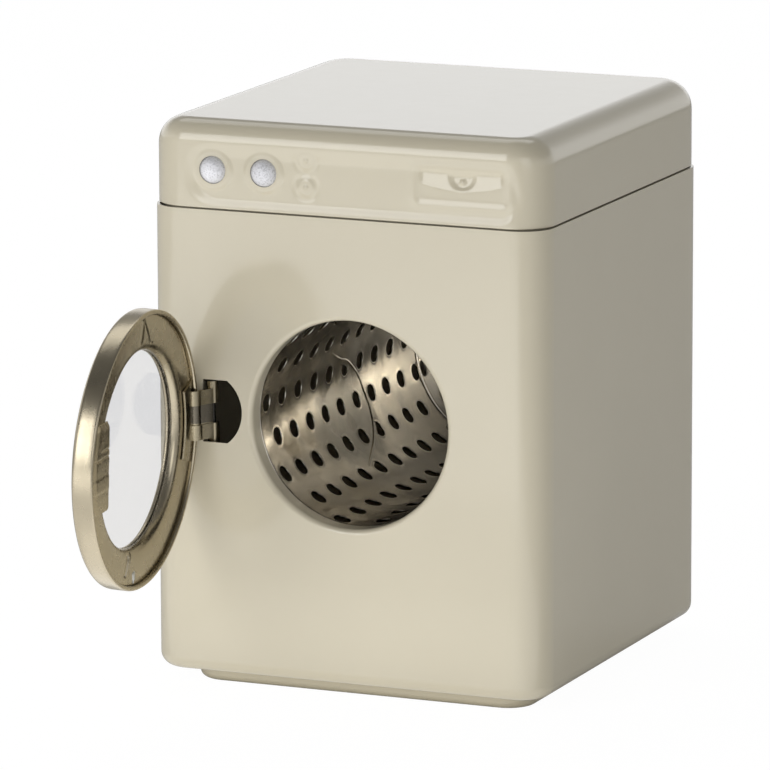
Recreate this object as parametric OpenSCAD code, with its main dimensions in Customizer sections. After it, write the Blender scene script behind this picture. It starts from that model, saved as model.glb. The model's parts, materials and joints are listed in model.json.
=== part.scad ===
// Toy front-loading washing machine in sheet metal: cabinet with a pressed top cap, round door on a
// gooseneck hinge, perforated drum that turns on a rear axle, and two turning knobs.
// Millimetres. Z is up, the front faces -Y, and the origin is the centre of the resting face.

/* [Cabinet] */
// Width of the cabinet
cab_w = 95.3; // [93:0.1:99]
// Depth of the cabinet
cab_d = 100; // [97:0.5:104]
// Height from the resting face to the top of the cap
cab_h = 130; // [127:0.5:134]
// Thickness of the cabinet's sheet metal
sheet_t = 0.6; // [0.5:0.05:0.7]
// Radius of the cabinet's upright corners
corner_r = 7.5; // [7:0.1:8.5]
// Radius of the cabinet's bottom edge
hem_r = 3.3; // [2.8:0.1:3.6]

/* [Top cap] */
// Height of the pressed top cap
cap_h = 19.7; // [18.8:0.1:21]
// Radius of the cap's top edge
cap_edge_r = 8.7; // [8:0.1:9]
// Radius of the cap's upright corners
cap_corner_r = 9.5; // [9.2:0.1:10.5]
// How far the cap stands inside the cabinet's outline
cap_step = 0.1; // [0.05:0.05:0.4]
// Open seam between the cabinet and the cap
seam_gap = 0.35; // [0.2:0.05:0.5]
// Depth of the skirt that plugs the cap into the cabinet
skirt_h = 6; // [4:0.5:7]
// Depth of the recessed control panel
panel_depth = 0.5; // [0.4:0.05:0.6]

/* [Plinth] */
// Height of the plinth that shows below the cabinet
plinth_h = 3.7; // [3:0.1:4.5]
// Setback of the plinth at the front and the back
plinth_in_y = 7.4; // [6:0.1:9]
// Setback of the plinth at the sides
plinth_in_x = 6.6; // [6:0.1:9]
// Radius of the plinth's upright corners
plinth_corner_r = 7; // [6:0.1:8]

/* [Porthole] */
// Height of the porthole's centre
port_z = 63.4; // [62:0.1:65]
// Radius where the front sheet turns in
port_r = 24.8; // [23.5:0.1:25]
// Bend radius of the porthole's lip
lip_r = 1.2; // [1:0.1:1.5]
// Depth of the flange behind the lip
flange_len = 3.2; // [2.5:0.1:3.6]

/* [Drum] */
// Inner radius of the drum
drum_r = 24.2; // [24:0.1:24.6]
// Thickness of the perforated sheet
drum_t = 0.5; // [0.4:0.05:0.6]
// Diameter of each perforation
hole_d = 4; // [3.4:0.1:4.2]
// Number of rows of perforations round the drum
hole_rows = 18; // [14:2:18]
// Distance between perforations along a row
hole_pitch = 8.8; // [8.4:0.1:8.8]
// Angle of the first row, from the drum's right side
row_phase = -3.8; // [-8:0.1:8]
// Diameter of the drum's axle
axle_d = 4; // [3.6:0.1:4.4]

/* [Door] */
// Distance from the hinge axis to the door's centre
door_u = 34; // [33.6:0.1:34.4]
// Angle at which the door stands open at rest
door_open = 87.2; // [60:0.2:90]
// Outer radius of the door
door_r = 31.2; // [30.6:0.1:31.6]
// Thickness of the door at its edge
door_t = 5.4; // [4.8:0.1:5.6]
// Radius of the door's window
window_r = 22; // [20.5:0.1:22.5]
// How far the door hangs below the porthole's centre
door_drop = 0.8; // [0:0.1:1]
// Gap between the closed door and the front sheet
door_gap = 0.25; // [0.2:0.05:0.4]

/* [Hinge] */
// Distance from the cabinet's left side to the hinge axis
hinge_side = 15.15; // [14.9:0.05:16.5]
// Depth of the hinge axis behind the front face
hinge_in = 2.1; // [2:0.05:2.3]
// Forward lean of the hinge pin, in degrees, so that the open door sags and the closed one is flush
pin_lean = 2.4; // [2:0.05:3.2]
// Diameter of the hinge pin
pin_d = 1.15; // [1:0.05:1.2]
// Outer radius of the hinge knuckles
knuckle_r = 1.35; // [1.2:0.05:1.4]
// Height of each of the two hinge lugs
lug_h = 3.4; // [3.1:0.1:3.5]
// Open height between the two hinge lugs
lug_gap = 4.6; // [4.2:0.1:4.8]
// Height of the hinge opening in the front sheet
hinge_hole_h = 14.3; // [14.1:0.1:14.8]
// Reach of the hinge opening to the right of the hinge axis
hinge_hole_reach = 8; // [7.9:0.1:8.3]

/* [Controls] */
// Diameter of the knobs
knob_d = 6.4; // [5.8:0.1:7]
// Height of a knob's dome
knob_h = 2.4; // [2:0.1:3]
// Height of the knobs' axes above the cap's lower edge
knob_rise = 8.7; // [8.2:0.1:9]
// Distance from the cabinet's left side to the left knob
knob_side = 16.25; // [15.5:0.05:17]
// Distance between the two knobs
knob_gap = 12.4; // [11:0.1:13.5]

/* [Hidden] */
$fn = 96;
EPS = 0.01;
ENAMEL = [0.80, 0.78, 0.70];
STEEL = [0.66, 0.65, 0.62];
NICKEL = [0.72, 0.69, 0.62];
BRASS = [0.72, 0.58, 0.30];
CLEAR = [0.85, 0.88, 0.90, 0.35];

// Heights and planes of the cabinet
left_x = -cab_w / 2;
right_x = cab_w / 2;
hinge_x = left_x + hinge_side;
port_x = hinge_x + door_u;
front_y = -cab_d / 2;
back_y = cab_d / 2;
body_z0 = plinth_h;
body_top = cab_h - cap_h - seam_gap;
cap_z0 = cab_h - cap_h;
cap_w = cab_w - 2 * cap_step;
cap_d = cab_d - 2 * cap_step;
cap_front = front_y + cap_step;

// Plinth pan: a tray that hangs through the cabinet's floor by its flange
pan_w = cab_w - 2 * plinth_in_x;
pan_d = cab_d - 2 * plinth_in_y;
pan_edge_r = 1.8;
pan_flange = 3;
pan_gap = 0.1;

// Back opening and the panel behind it
back_return = 11;
back_sill = 9.3;
back_open_z0 = body_z0 + back_sill;
back_open_z1 = body_top - back_return;
back_open_r = 5;
panel_lap = 3;
panel_t = 0.6;

// Drum along Y, from just behind the porthole's flange to just before the bearing
flange_end = front_y + lip_r + flange_len;
drum_y0 = flange_end + 0.8;
drum_y1 = back_y - 4;
hoop_in = 0.35;
row_y0 = drum_y0 + 4.2;
row_span = drum_y1 - row_y0 - hole_pitch / 2 - hole_d / 2 - drum_t;
holes_in_row = floor(row_span / hole_pitch) + 1;

// Rear bearing, between the drum's back and the back panel
axle_flange_r = 9;
axle_flange_t = 1;
flange_rivet_ring = axle_flange_r * 0.68;
rivet_r = 1.2;
rivet_head_r = 2.1;
rivet_head_h = 0.5;
run_gap = 0.05;
washer_t = 0.6;
washer_r = 3.8;
bush_r = 3.2;
bush_flange_r = 5;
plate_t = 1;
plate_w = 42;
plate_h = 24;
plate_corner_r = 3;
rivet_x = 16;
rivet_z = 7.5;
clip_r = 3.4;
clip_t = 0.35;
groove_in = 0.5;
panel_in_y = back_y - sheet_t - panel_t;
panel_out_y = back_y - sheet_t;
plate_y = panel_in_y - plate_t;
washer_y = drum_y1 + 0.1;
bush_y = washer_y + washer_t + 0.1;
clip_y = panel_out_y + 0.1;
axle_end = back_y;

// Hinge axis and the closed door's centre, seen from that axis
hinge_y = front_y + hinge_in;
door_z = port_z - door_drop;
hinge_z = port_z + 0.25;
pin_axis = [0, -sin(pin_lean), cos(pin_lean)];
rim_w = -hinge_in - door_gap;
lug_z = lug_gap / 2 + lug_h;
knuckle_top = 7.3;
ear_gap = 0.15;
ear_t = 0.8;
ear_reach = 2.4;
bracket_lap = 2.9;
bracket_over = 4.5;
bracket_tab = 6;
ear_over = 2;
hinge_hole_back = 1.65;
bracket_back = 4.6;
hinge_hole_rise = 0.6;
hole_left = hinge_x - hinge_hole_back;
hole_arc_r = 8.9;
hole_arc_x = hinge_x + hinge_hole_reach - hole_arc_r;
hole_z = hinge_z + hinge_hole_rise;
pin_head_r = 0.85;
pin_head_gap = 0.1;
head_room = 0.2;
pin_reach = knuckle_top + ear_gap + ear_t + pin_head_gap;
pin_head_h = 0.5;
arch_r = 1.9;
arch_t = 0.65;
arch_w = rim_w - 0.8;
middle_sink = 0.35;
middle_t = 0.45;
middle_u = 1;
lug_land = lug_h * 0.7;
leg_reach = 0.5;
leg_trim = 1.5;

// Door sections, with radius from the door's axis and depth from its inner rim plane
rim_lip = 1.1;
ring_gap = 0.05;
inner_r = door_r - rim_lip - ring_gap;
door_sheet = 0.5;
belly_sag = 0.7;
belly_drop = 1.5;
front_sag = 0.7;
pane_r = window_r + 1.7;
pane_t = 0.7;
pane_w = -3.6;
seat_t = 0.5;

// Catch plate and hinge saddle on the door's inner side
catch_u = 19.6;
catch_w = 8.4;
catch_top = 10.7;
catch_low = -7.9;
catch_t = 0.5;
lay_gap = 0.02;
tongue_in = 0.5;
tongue_h = 6;
tongue_gap = 0.6;
saddle_r0 = 24.6;
saddle_r1 = 29.6;
saddle_a = 18.5;
saddle_t = 0.5;

// Knob fit in the control panel
stem_r = 1;
stem_gap = 0.06;
dish_r = 5;
dish_depth = 0.3;
clip_knob_r = 2.6;
knob_floor_y = cap_front + panel_depth + dish_depth;
knob_in_y = knob_floor_y + sheet_t;
knob_lift = 0.15;
knob_z = cap_z0 + knob_rise;
knob_x1 = left_x + knob_side;
knob_x2 = knob_x1 + knob_gap;

// ---------- outlines ----------

// Rectangle with round corners
module round_rect(w, d, r) {
    square([w - 2 * r, d], center = true);
    square([w, d - 2 * r], center = true);
    for (sx = [-1, 1], sy = [-1, 1])
        translate([sx * (w / 2 - r), sy * (d / 2 - r)]) circle(r);
}

// Upright section, w wide and h high, with its two lower corners rounded
module tub_section(w, h, r) {
    translate([-w / 2, r]) square([w, h - r]);
    translate([-w / 2 + r, 0]) square([w - 2 * r, h]);
    for (sx = [-1, 1]) translate([sx * (w / 2 - r), r]) circle(r);
}

// The same section from its middle out, for turning
module tub_half(w, h, r) {
    intersection() {
        tub_section(w, h, r);
        square([w, h]);
    }
}

// Box with upright corner radius rv and a rounded lower edge rb
module tub(w, d, h, rv, rb) {
    rotate([90, 0, 0]) linear_extrude(d - 2 * rv, center = true) tub_section(w, h, rb);
    rotate([90, 0, 90]) linear_extrude(w - 2 * rv, center = true) tub_section(d, h, rb);
    for (sx = [-1, 1], sy = [-1, 1])
        translate([sx * (w / 2 - rv), sy * (d / 2 - rv), 0]) rotate_extrude() tub_half(2 * rv, h, rb);
}

// Turns a section of radius and depth about an axis that points along +Y
module turned(x, z) {
    translate([x, 0, z]) rotate([-90, 0, 0]) rotate_extrude() children();
}

// Cylinder along +Y from y to y + h
module along_y(x, y, z, r, h) {
    translate([x, y, z]) rotate([-90, 0, 0]) cylinder(r = r, h = h);
}

// Outline in the front plane, pushed along +Y from y by h
module front_slab(x, y, z, h) {
    translate([x, y + h, z]) rotate([90, 0, 0]) linear_extrude(h) children();
}

// Strip t thick that bulges by sag between radius r0 and r1
module belly(r0, r1, sag, t) {
    half = (r1 - r0) / 2;
    bend = (half * half + sag * sag) / (2 * sag);
    intersection() {
        translate([(r0 + r1) / 2, sag - bend]) difference() {
            circle(bend, $fn = 180);
            circle(bend - t, $fn = 180);
        }
        translate([r0, -t]) square([r1 - r0, sag + 2 * t]);
    }
}

// Places the door's pieces: x along the closed door, y into the cabinet, both from the hinge axis
module on_hinge() {
    translate([hinge_x, hinge_y, hinge_z]) rotate(a = -door_open, v = pin_axis)
        translate([0, 0, -hinge_z]) children();
}

// Places what lies along the hinge pin, with Z up the pin from the hinge's middle
module on_pin() {
    translate([hinge_x, hinge_y, hinge_z]) rotate([pin_lean, 0, 0]) children();
}

// Turns a section about the door's axis, at the door's place
module on_door() {
    on_hinge() translate([door_u, rim_w, door_z]) rotate([-90, 0, 0]) children();
}

// ---------- cabinet ----------

module porthole_lip() {
    turned(port_x, port_z) {
        translate([0, front_y]) {
            intersection() {
                translate([port_r, lip_r]) difference() {
                    circle(lip_r);
                    circle(lip_r - sheet_t);
                }
                translate([port_r - lip_r, 0]) square([lip_r + EPS, lip_r]);
            }
            translate([port_r - lip_r, lip_r - EPS]) square([sheet_t, flange_len + EPS]);
        }
    }
}

module hinge_opening(y, h) {
    front_slab(0, y, hole_z, h) {
        intersection() {
            translate([hole_left, -hinge_hole_h / 2]) square([2 * hole_arc_r, hinge_hole_h]);
            translate([hole_arc_x, 0]) circle(hole_arc_r);
        }
    }
}

module body_shell() {
    color(ENAMEL) {
        difference() {
            translate([0, 0, body_z0]) tub(cab_w, cab_d, body_top - body_z0, corner_r, hem_r);
            translate([0, 0, body_z0 + sheet_t])
                tub(cab_w - 2 * sheet_t, cab_d - 2 * sheet_t, cab_h, corner_r - sheet_t, hem_r - sheet_t);
            translate([0, 0, body_z0 - 1])
                linear_extrude(3) round_rect(pan_w + 2 * pan_gap, pan_d + 2 * pan_gap, plinth_corner_r);
            along_y(port_x, front_y - 1, port_z, port_r, 4);
            hinge_opening(front_y - 1, 3);
            front_slab(0, back_y - 2, (back_open_z0 + back_open_z1) / 2, 4)
                round_rect(cab_w - 2 * back_return, back_open_z1 - back_open_z0, back_open_r);
        }
        porthole_lip();
    }
}

module back_panel() {
    color(ENAMEL) difference() {
        front_slab(0, panel_in_y, (back_open_z0 + back_open_z1) / 2, panel_t)
            round_rect(cab_w - 2 * back_return + 2 * panel_lap,
                back_open_z1 - back_open_z0 + 2 * panel_lap, back_open_r);
        rivet_places() along_y(0, panel_in_y - 1, 0, rivet_r, 3);
        along_y(port_x, panel_in_y - 1, port_z, bush_r, 3);
    }
}

module base_pan() {
    color(ENAMEL) {
        difference() {
            tub(pan_w, pan_d, body_z0 + 2 * sheet_t, plinth_corner_r, pan_edge_r);
            translate([0, 0, sheet_t])
                tub(pan_w - 2 * sheet_t, pan_d - 2 * sheet_t, cab_h,
                    plinth_corner_r - sheet_t, pan_edge_r - sheet_t);
        }
        translate([0, 0, body_z0 + sheet_t]) linear_extrude(sheet_t) difference() {
            round_rect(pan_w + 2 * pan_flange, pan_d + 2 * pan_flange, plinth_corner_r + pan_flange);
            round_rect(pan_w - sheet_t, pan_d - sheet_t, plinth_corner_r - sheet_t / 2);
        }
    }
}

// ---------- top cap ----------

// Recessed control panel with its embossed drawer front and two studs
panel_in_left = 6.65;
panel_in_right = 7.65;
panel_rise = 2.7;
panel_drop = 3;
panel_x0 = left_x + panel_in_left;
panel_x1 = right_x - panel_in_right;
panel_z0 = cap_z0 + panel_rise;
panel_z1 = cab_h - panel_drop;
panel_r = 4;
drawer_side = 19.25;
drawer_x = right_x - drawer_side;
drawer_w = 20.4;
drawer_z = knob_z;
drawer_h = 6.4;
grip_r = 3.4;
grip_drop = 0.4;
stud_side = 38.9;
stud_x = left_x + stud_side;
stud_low = 2.6;
stud_high = 3.4;
stud_z = [knob_z - stud_low, knob_z + stud_high];
stud_r = 1.5;
stud_h = 0.4;

module panel_outline(grow) {
    translate([(panel_x0 + panel_x1) / 2, 0])
        round_rect(panel_x1 - panel_x0 + 2 * grow, panel_z1 - panel_z0 + 2 * grow, panel_r + grow);
}

module cap_skin(inset, top) {
    translate([0, 0, top]) mirror([0, 0, 1])
        tub(cap_w - 2 * inset, cap_d - 2 * inset, top - cap_z0 + 2 * inset,
            cap_corner_r - inset, cap_edge_r - inset);
}

module knob_places() {
    for (x = [knob_x1, knob_x2]) translate([x, 0, knob_z]) children();
}

module top_cap() {
    panel_z = (panel_z0 + panel_z1) / 2;
    floor_y = cap_front + panel_depth;
    color(ENAMEL) difference() {
        union() {
            difference() {
                cap_skin(0, cab_h);
                difference() {
                    cap_skin(sheet_t, cab_h - sheet_t);
                    front_slab(0, cap_front, panel_z, sheet_t + panel_depth) panel_outline(sheet_t);
                    knob_places() along_y(0, cap_front, 0, dish_r + sheet_t, knob_in_y - cap_front);
                }
                front_slab(0, cap_front - 1, panel_z, 1 + panel_depth) difference() {
                    panel_outline(0);
                    translate([drawer_x, drawer_z - panel_z]) round_rect(drawer_w, drawer_h, 1.2);
                }
            }
            translate([0, 0, cap_z0 - skirt_h]) linear_extrude(skirt_h + 1.2) difference() {
                round_rect(cab_w - 2 * sheet_t - 0.1, cab_d - 2 * sheet_t - 0.1, corner_r - sheet_t);
                round_rect(cab_w - 4 * sheet_t - 0.1, cab_d - 4 * sheet_t - 0.1, corner_r - 2 * sheet_t);
            }
            for (z = stud_z) intersection() {
                translate([stud_x, floor_y + stud_r * 1.6 - stud_h, z]) sphere(stud_r * 1.6);
                along_y(stud_x, floor_y - 2, z, stud_r * 1.3, 2 + EPS);
            }
        }
        knob_places() {
            along_y(0, floor_y - EPS, 0, dish_r, dish_depth + EPS);
            along_y(0, cap_front - 1, 0, stem_r + stem_gap, 4);
        }
        front_slab(drawer_x, cap_front - 1, drawer_z + drawer_h / 2 - grip_drop, 1 + panel_depth * 0.7)
            intersection() {
                circle(grip_r);
                translate([-grip_r, -grip_r]) square([2 * grip_r, grip_r]);
            }
    }
}

// ---------- hinge, fixed side ----------

module hinge_bracket() {
    ear_y1 = hinge_y + ear_reach;
    plate_y0 = front_y + sheet_t;
    side_x = hinge_x - bracket_back;
    plate_x0 = side_x - bracket_lap;
    plate_x1 = hinge_x + bracket_over;
    z1 = hinge_z + knuckle_top + ear_gap;
    z0 = hinge_z - knuckle_top - ear_gap;
    color(STEEL) difference() {
        union() {
            front_slab(0, plate_y0, 0, ear_t) difference() {
                translate([plate_x0, z0 - ear_t - bracket_tab])
                    square([plate_x1 - plate_x0, z1 - z0 + 2 * (ear_t + bracket_tab)]);
                translate([side_x, z0 - ear_t]) square([cab_w, z1 - z0 + 2 * ear_t]);
            }
            for (z = [z0 - ear_t, z1]) translate([side_x - EPS, plate_y0, z])
                cube([hinge_x + ear_over - side_x + EPS, ear_y1 - plate_y0, ear_t]);
            translate([side_x - ear_t, plate_y0, z0 - ear_t])
                cube([ear_t, ear_y1 - plate_y0, z1 - z0 + 2 * ear_t]);
        }
        on_pin() {
            cylinder(d = pin_d, h = 2 * pin_reach, center = true);
            for (side = [-1, 1]) translate([0, 0, side * (pin_reach + pin_head_h)])
                cylinder(r = pin_head_r + head_room, h = 2 * pin_head_h, center = true);
        }
    }
}

module hinge_pin() {
    color(STEEL) on_pin() {
        cylinder(d = pin_d, h = 2 * pin_reach + 2 * EPS, center = true);
        for (side = [-1, 1]) translate([0, 0, side * (pin_reach + pin_head_h / 2)])
            cylinder(r = pin_head_r, h = pin_head_h, center = true);
    }
}

// ---------- rear bearing ----------

module rivet_places() {
    for (sx = [-1, 1], sz = [-1, 1]) translate([port_x + sx * rivet_x, 0, port_z + sz * rivet_z]) children();
}

module bearing_plate() {
    color(STEEL) difference() {
        front_slab(port_x, plate_y, port_z, plate_t) round_rect(plate_w, plate_h, plate_corner_r);
        along_y(port_x, plate_y - 1, port_z, bush_r, plate_t + 2);
        rivet_places() along_y(0, plate_y - 1, 0, rivet_r, plate_t + 2);
    }
}

// Rivet along +Y whose shank runs from y to y + grip, with a low head at each end
module rivet(y, grip) {
    along_y(0, y - EPS, 0, rivet_r, grip + 2 * EPS);
    for (end = [y - rivet_head_h, y + grip]) along_y(0, end, 0, rivet_head_r, rivet_head_h);
}

module plate_rivets() {
    color(STEEL) rivet_places() rivet(plate_y, plate_t + panel_t);
}

module rear_bush() {
    color(BRASS) difference() {
        union() {
            along_y(port_x, bush_y, port_z, bush_flange_r, plate_y - bush_y);
            along_y(port_x, plate_y - EPS, port_z, bush_r, panel_out_y - plate_y + EPS);
        }
        along_y(port_x, bush_y - 1, port_z, axle_d / 2 + run_gap, panel_out_y - bush_y + 2);
    }
}

// ---------- drum ----------

module drum_section() {
    translate([drum_r, drum_y0]) square([drum_t, drum_y1 - drum_y0]);
    translate([drum_r - hoop_in, drum_y0]) square([hoop_in + drum_t, drum_t]);
}

module drum_shell() {
    color(NICKEL) difference() {
        turned(port_x, port_z) drum_section();
        for (row = [0 : hole_rows - 1], i = [0 : holes_in_row - 1])
            translate([port_x, row_y0 + (i + 0.5 - (row % 2) / 2) * hole_pitch, port_z])
                rotate([0, -(row_phase + row * 360 / hole_rows), 0])
                    translate([drum_r - 1, 0, 0]) rotate([0, 90, 0])
                        cylinder(d = hole_d, h = 2 + drum_t, $fn = 24);
    }
}

module flange_rivet_places() {
    for (a = [90, 210, 330])
        translate([port_x + flange_rivet_ring * cos(a), 0, port_z + flange_rivet_ring * sin(a)])
            children();
}

module drum_back() {
    color(NICKEL) difference() {
        along_y(port_x, drum_y1 - drum_t, port_z, drum_r, drum_t);
        along_y(port_x, drum_y1 - 2, port_z, axle_d / 2, 4);
        flange_rivet_places() along_y(0, drum_y1 - 2, 0, rivet_r, 4);
    }
}

module axle_flange() {
    y0 = drum_y1 - drum_t - axle_flange_t;
    color(STEEL) difference() {
        along_y(port_x, y0, port_z, axle_flange_r, axle_flange_t);
        along_y(port_x, y0 - 1, port_z, axle_d / 2, axle_flange_t + 2);
        flange_rivet_places() along_y(0, y0 - 1, 0, rivet_r, axle_flange_t + 2);
    }
}

module flange_rivets() {
    color(STEEL) flange_rivet_places()
        rivet(drum_y1 - drum_t - axle_flange_t, axle_flange_t + drum_t);
}

module drum_axle() {
    y0 = drum_y1 - drum_t - axle_flange_t - 0.6;
    color(STEEL) turned(port_x, port_z) difference() {
        translate([0, y0]) square([axle_d / 2, axle_end - y0]);
        translate([axle_d / 2 - groove_in, clip_y]) square([groove_in + 1, clip_t]);
    }
}

module axle_washer() {
    color(STEEL) turned(port_x, port_z)
        translate([axle_d / 2 + run_gap, washer_y]) square([washer_r - axle_d / 2 - run_gap, washer_t]);
}

module axle_clip() {
    mouth = axle_d - 2 * groove_in;
    color(STEEL) difference() {
        along_y(port_x, clip_y, port_z, clip_r, clip_t);
        along_y(port_x, clip_y - 1, port_z, axle_d / 2 - groove_in, clip_t + 2);
        translate([port_x - mouth / 2, clip_y - 1, port_z]) cube([mouth, clip_t + 2, clip_r + 1]);
    }
}

// ---------- door ----------

// Outer pressing: edge wall with a rolled rim, convex face and a return at the window
module door_front_ring() {
    face = -door_t;
    rim_r = rim_lip / 2;
    color(NICKEL) on_door() rotate_extrude() {
        translate([door_r - rim_r, -rim_r]) circle(rim_r, $fn = 48);
        translate([door_r - door_sheet, face + EPS]) square([door_sheet, door_t - rim_r]);
        translate([0, face + door_sheet]) mirror([0, 1])
            belly(window_r, door_r, front_sag, door_sheet);
        translate([window_r, face - EPS]) square([door_sheet, pane_w - face]);
        translate([window_r, pane_w - seat_t]) square([pane_r - window_r, seat_t]);
    }
}

// Inner pressing: convex annulus with a return that clamps the pane
module door_inner_ring() {
    color(NICKEL) on_door() rotate_extrude() {
        translate([0, -belly_drop]) belly(window_r, inner_r, belly_sag, door_sheet);
        translate([window_r, pane_w + pane_t]) square([door_sheet, -belly_drop - pane_w - pane_t]);
        translate([window_r, pane_w + pane_t]) square([pane_r - window_r, seat_t]);
    }
}

module door_pane() {
    color(CLEAR) on_door() rotate_extrude() translate([0, pane_w]) square([pane_r, pane_t]);
}

// Spring catch: a plate at the door's free edge whose tongue presses inside the porthole's lip
module door_catch() {
    top_w = -belly_drop + belly_sag + lay_gap;
    tongue_u = port_r - lip_r - tongue_gap;
    color(STEEL) on_hinge() translate([door_u, rim_w, door_z]) {
        intersection() {
            translate([catch_u, top_w, catch_low]) cube([catch_w, catch_t, catch_top - catch_low]);
            translate([0, -door_t, 0]) rotate([-90, 0, 0]) cylinder(r = saddle_r1, h = 2 * door_t);
        }
        translate([tongue_u - catch_t, top_w, door_drop - tongue_h / 2])
            cube([catch_t, tongue_in - top_w, tongue_h]);
    }
}

// Place along the closed door of the rim's middle at height v above the door's centre
function rim_u(v) = door_u - sqrt(door_r * door_r - v * v) + rim_lip / 2;

// Outline of the strap: a straight web from the knuckle, and a quarter arch that drops over the
// rim to the saddle. It is t thick and lies sink below the lugs' face.
module strap_outline(u, t, sink) {
    crown_w = arch_w + arch_r - sink - t / 2;
    web_w = knuckle_r - sink - t / 2;
    web_len = norm([u, crown_w - web_w]);
    translate([0, web_w]) rotate(atan2(crown_w - web_w, u)) translate([0, -t / 2]) square([web_len, t]);
    translate([u, arch_w]) intersection() {
        difference() {
            circle(arch_r - sink);
            circle(arch_r - sink - t);
        }
        translate([-t / 2, -leg_reach]) square([2 * arch_r, arch_r + leg_reach]);
    }
}

// Saddle plate soldered to the inner pressing, with a strap that reaches over the rim to the pin:
// two lugs that end in knuckles, and a sunk middle that stops short of the pin
module hinge_strap() {
    color(NICKEL) {
        on_door() rotate([0, 0, 180 - saddle_a]) rotate_extrude(angle = 2 * saddle_a) intersection() {
            translate([0, -belly_drop + saddle_t + lay_gap])
                belly(window_r, inner_r, belly_sag, saddle_t);
            translate([saddle_r0, -door_t]) square([saddle_r1 - saddle_r0, 2 * door_t]);
        }
        difference() {
            on_hinge() translate([0, 0, hinge_z]) rotate([pin_lean, 0, 0]) difference() {
                union() {
                    for (z = [-lug_z, lug_gap / 2]) {
                        translate([0, 0, z]) linear_extrude(lug_h)
                            strap_outline(rim_u(hinge_z + z + lug_land - door_z), arch_t, 0);
                        translate([0, 0, z < 0 ? -knuckle_top : z])
                            cylinder(r = knuckle_r, h = knuckle_top - lug_gap / 2);
                    }
                    translate([0, 0, -lug_gap / 2 - EPS]) linear_extrude(lug_gap + 2 * EPS) difference() {
                        strap_outline(rim_u(hinge_z - door_z), middle_t, middle_sink);
                        translate([middle_u - arch_r, 0]) square(2 * arch_r, center = true);
                    }
                }
                cylinder(d = pin_d + 2 * run_gap, h = 4 * knuckle_top, center = true);
            }
            on_door() rotate_extrude() translate([0, -belly_drop + EPS])
                belly(window_r, inner_r, belly_sag, leg_trim);
        }
    }
}

// ---------- knobs ----------

module knob(x) {
    base_y = knob_floor_y - knob_lift;
    dome_r = (knob_d * knob_d / 4 + knob_h * knob_h) / (2 * knob_h);
    color(STEEL) {
        intersection() {
            translate([x, base_y - knob_h + dome_r, knob_z]) sphere(dome_r);
            along_y(x, base_y - knob_h - 1, knob_z, knob_d / 2, knob_h + 1);
        }
        along_y(x, base_y - EPS, knob_z, stem_r, knob_in_y + 1.2 - base_y);
    }
}

module knob_clip(x) {
    color(STEEL) difference() {
        along_y(x, knob_in_y + 0.1, knob_z, clip_knob_r, 0.4);
        along_y(x, knob_in_y - 1, knob_z, stem_r, 3);
    }
}

module knob_left() { knob(knob_x1); }
module knob_left_clip() { knob_clip(knob_x1); }
module knob_right() { knob(knob_x2); }
module knob_right_clip() { knob_clip(knob_x2); }

body_shell();
back_panel();
base_pan();
top_cap();
hinge_bracket();
hinge_pin();
bearing_plate();
plate_rivets();
rear_bush();
drum_shell();
drum_back();
axle_flange();
flange_rivets();
drum_axle();
axle_washer();
axle_clip();
door_front_ring();
door_inner_ring();
door_pane();
door_catch();
hinge_strap();
knob_left();
knob_left_clip();
knob_right();
knob_right_clip();
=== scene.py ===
"""Toy washing machine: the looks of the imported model, in metres, in the model's own frame."""
import json
import math
import bmesh
import bpy
from mathutils import Matrix, Vector, noise as mnoise


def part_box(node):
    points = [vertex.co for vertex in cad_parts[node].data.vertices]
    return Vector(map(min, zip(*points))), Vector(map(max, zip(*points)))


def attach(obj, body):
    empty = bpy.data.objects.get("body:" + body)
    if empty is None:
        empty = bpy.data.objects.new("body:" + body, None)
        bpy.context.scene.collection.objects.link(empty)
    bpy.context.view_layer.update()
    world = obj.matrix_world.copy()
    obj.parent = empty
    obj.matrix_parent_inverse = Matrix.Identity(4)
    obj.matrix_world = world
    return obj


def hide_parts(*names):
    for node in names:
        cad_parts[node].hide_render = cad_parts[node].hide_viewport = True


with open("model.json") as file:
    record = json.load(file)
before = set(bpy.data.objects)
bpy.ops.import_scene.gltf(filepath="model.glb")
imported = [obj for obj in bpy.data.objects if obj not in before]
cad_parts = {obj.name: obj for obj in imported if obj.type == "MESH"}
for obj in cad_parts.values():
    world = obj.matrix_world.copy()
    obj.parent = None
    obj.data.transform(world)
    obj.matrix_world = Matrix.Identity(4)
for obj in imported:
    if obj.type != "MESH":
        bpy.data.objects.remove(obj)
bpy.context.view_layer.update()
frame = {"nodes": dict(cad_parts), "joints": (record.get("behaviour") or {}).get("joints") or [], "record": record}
MM = 0.001
SAME_POINT = 1e-7                      # points nearer than this are one

# ---------------------------------------------------------------- places, from the frame
joint = {j["name"]: j for j in frame["joints"]}
slot_of = {p["node"]: p["material_slot"] for p in frame["record"]["subparts"]}


def low(node):
    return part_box(node)[0]


def high(node):
    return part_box(node)[1]


def middle(node):
    return (Vector(low(node)) + Vector(high(node))) / 2


ACROSS, INWARD, UPWARD = Vector((1, 0, 0)), Vector((0, 1, 0)), Vector((0, 0, 1))
hinge = Vector(joint["door_hinge"]["pos_m"])
DOOR_OPEN = math.radians(joint["door_hinge"]["range_deg"][1])    # the door's angle at rest
swing = Matrix.Rotation(-DOOR_OPEN, 3, Vector(joint["door_hinge"]["axis"]))
door_u = swing @ ACROSS                # from the hinge to the free edge
door_w = swing @ INWARD                # from the outer face to the inner
door_v = swing @ UPWARD                # up the door
DOOR_REACH = 0.034                     # from the hinge axis to the door's axis
RIM_BACK = 0.00235                     # from the hinge axis to the inner rim's plane
DOOR_SINK = 0.00105                    # from the hinge's middle down to the door's axis
door_at = hinge + door_u * DOOR_REACH - door_w * RIM_BACK - door_v * DOOR_SINK
drum_at = Vector(joint["drum_spin"]["pos_m"])


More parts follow.
